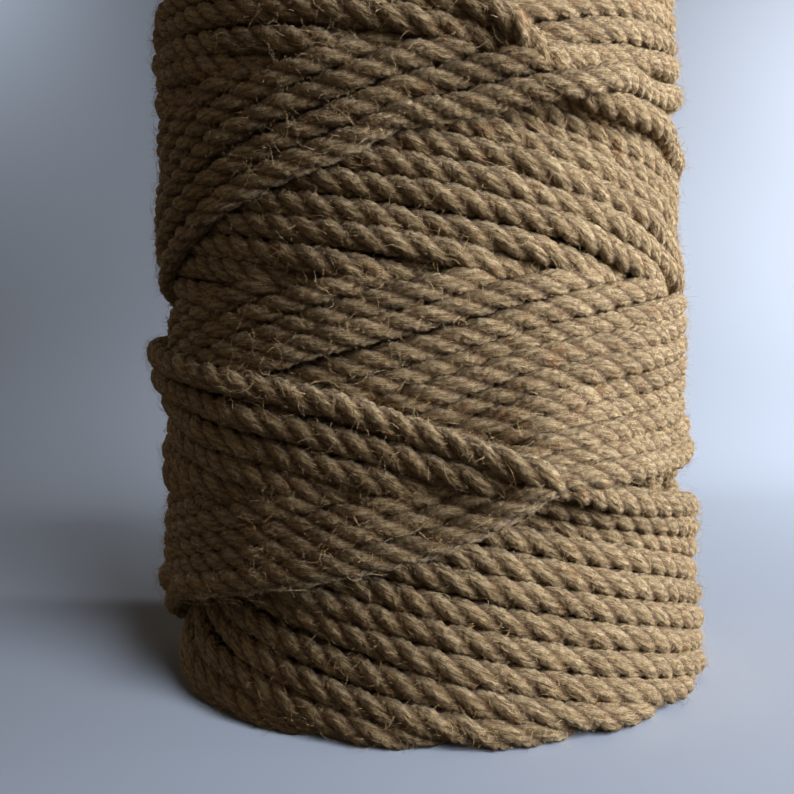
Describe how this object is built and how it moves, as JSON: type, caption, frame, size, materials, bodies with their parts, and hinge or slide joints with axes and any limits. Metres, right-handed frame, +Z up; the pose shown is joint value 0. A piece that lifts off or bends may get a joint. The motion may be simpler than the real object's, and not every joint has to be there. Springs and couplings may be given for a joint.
{
  "type": "spool of twine",
  "caption": "Cylindrical spool of thick jute rope, wound crosswise in a herringbone pattern round an open bore, standing on a flat end.",
  "frame": {"origin": "on the resting plane, at the middle of the winding's axis", "axes": "+Z up along the winding's axis, -Y towards the side that the picture shows"},
  "size_m": [0.1419, 0.1441, 0.1955],
  "materials": {
    "jute": "matte, hairy twisted rope"
  },
  "bodies": {
    "root": {"winding": "jute"}
  },
  "joints": []
}
